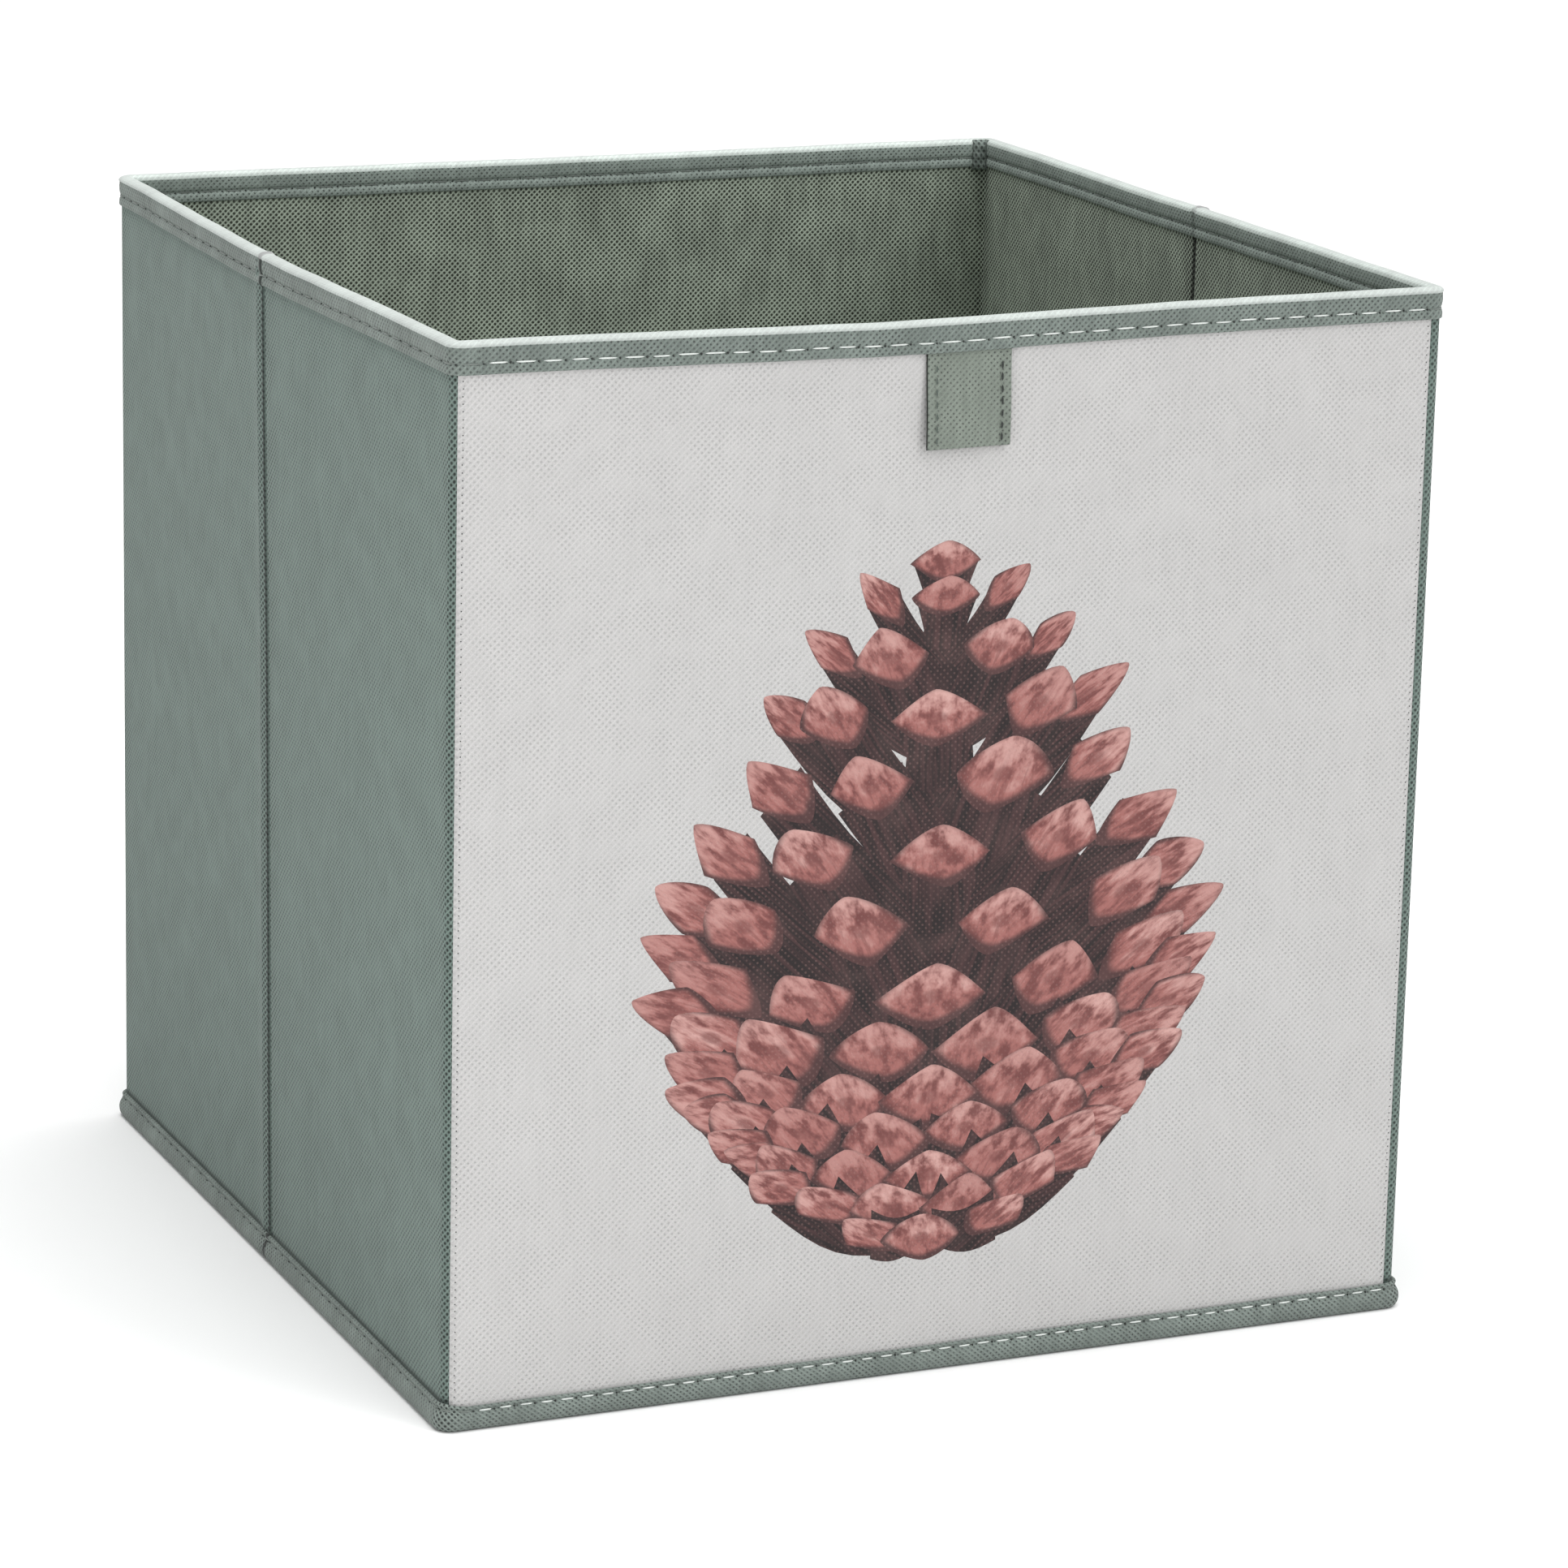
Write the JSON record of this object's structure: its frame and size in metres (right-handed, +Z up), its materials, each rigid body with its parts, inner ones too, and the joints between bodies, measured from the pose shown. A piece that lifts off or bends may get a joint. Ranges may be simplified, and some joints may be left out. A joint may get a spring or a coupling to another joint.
{
  "type": "fabric storage bin",
  "caption": "Square open-topped folding storage bin of nonwoven fabric over board, with bound rim and foot, a printed front, a pull tab and side walls that fold inward at centre creases.",
  "frame": {"origin": "centre of the square footprint, on the surface that the bin stands on", "axes": "+X to the bin's right and +Y to its back, seen by someone who faces the printed front, and +Z up; the printed front faces -Y"},
  "size_m": [0.32, 0.32, 0.322],
  "materials": {
    "printed_nonwoven": null,
    "outer_nonwoven": "sage grey-green spunbond nonwoven with embossed dots, matt",
    "lining_nonwoven": "darker sage spunbond nonwoven with a coarser dot pattern, matt",
    "binding_nonwoven": "sage spunbond nonwoven tape, folded and topstitched",
    "stiffener_board": "grey-brown board, hidden between the fabrics"
  },
  "bodies": {
    "front": {"floor_sheet": "lining_nonwoven", "front_base_binding": "binding_nonwoven", "front_board": "stiffener_board", "front_left_corner_strip": "outer_nonwoven", "front_lining": "lining_nonwoven", "front_printed_fabric": "printed_nonwoven", "front_right_corner_strip": "outer_nonwoven", "front_rim_binding": "binding_nonwoven"},
    "left_front": {"left_front_base_binding": "binding_nonwoven", "left_front_board": "stiffener_board", "left_front_lining": "lining_nonwoven", "left_front_outer_fabric": "outer_nonwoven", "left_front_rim_binding": "binding_nonwoven"},
    "left_rear": {"left_rear_base_binding": "binding_nonwoven", "left_rear_board": "stiffener_board", "left_rear_lining": "lining_nonwoven", "left_rear_outer_fabric": "outer_nonwoven", "left_rear_rim_binding": "binding_nonwoven"},
    "rear": {"rear_base_binding": "binding_nonwoven", "rear_board": "stiffener_board", "rear_left_corner_strip": "outer_nonwoven", "rear_lining": "lining_nonwoven", "rear_outer_fabric": "outer_nonwoven", "rear_right_corner_strip": "outer_nonwoven", "rear_rim_binding": "binding_nonwoven"},
    "right_front": {"right_front_base_binding": "binding_nonwoven", "right_front_board": "stiffener_board", "right_front_lining": "lining_nonwoven", "right_front_outer_fabric": "outer_nonwoven", "right_front_rim_binding": "binding_nonwoven"},
    "right_rear": {"right_rear_base_binding": "binding_nonwoven", "right_rear_board": "stiffener_board", "right_rear_lining": "lining_nonwoven", "right_rear_outer_fabric": "outer_nonwoven", "right_rear_rim_binding": "binding_nonwoven"},
    "pull_tab": {"pull_tab": "binding_nonwoven"}
  },
  "joints": [
    {"name": "side_fold", "type": "hinge", "parent": "front", "child": "left_front", "pos_m": [-0.1535, -0.1535, 0], "axis": [0, 0, -1], "range_deg": [0, 78], "deforming": ["floor_sheet"]},
    {"name": "left_crease", "type": "hinge", "parent": "left_front", "child": "left_rear", "pos_m": [-0.1605, 0, 0], "axis": [0, 0, 1], "range_deg": [0, 156]},
    {"name": "rear_left_corner", "type": "hinge", "parent": "left_rear", "child": "rear", "pos_m": [-0.1535, 0.1535, 0], "axis": [0, 0, -1], "range_deg": [0, 78]},
    {"name": "front_right_corner", "type": "hinge", "parent": "front", "child": "right_front", "pos_m": [0.1535, -0.1535, 0], "axis": [0, 0, 1], "range_deg": [0, 78]},
    {"name": "rear_right_corner", "type": "hinge", "parent": "rear", "child": "right_rear", "pos_m": [0.1535, 0.1535, 0], "axis": [0, 0, -1], "range_deg": [0, 78]},
    {"name": "tab_lift", "type": "hinge", "parent": "front", "child": "pull_tab", "pos_m": [0, -0.1593, 0.3119], "axis": [-1, 0, 0], "range_deg": [0, 150]}
  ],
  "couplings": [
    {"joint": "left_crease", "follows": "side_fold", "ratio": 2},
    {"joint": "rear_left_corner", "follows": "side_fold", "ratio": 1},
    {"joint": "front_right_corner", "follows": "side_fold", "ratio": 1},
    {"joint": "rear_right_corner", "follows": "side_fold", "ratio": 1}
  ]
}
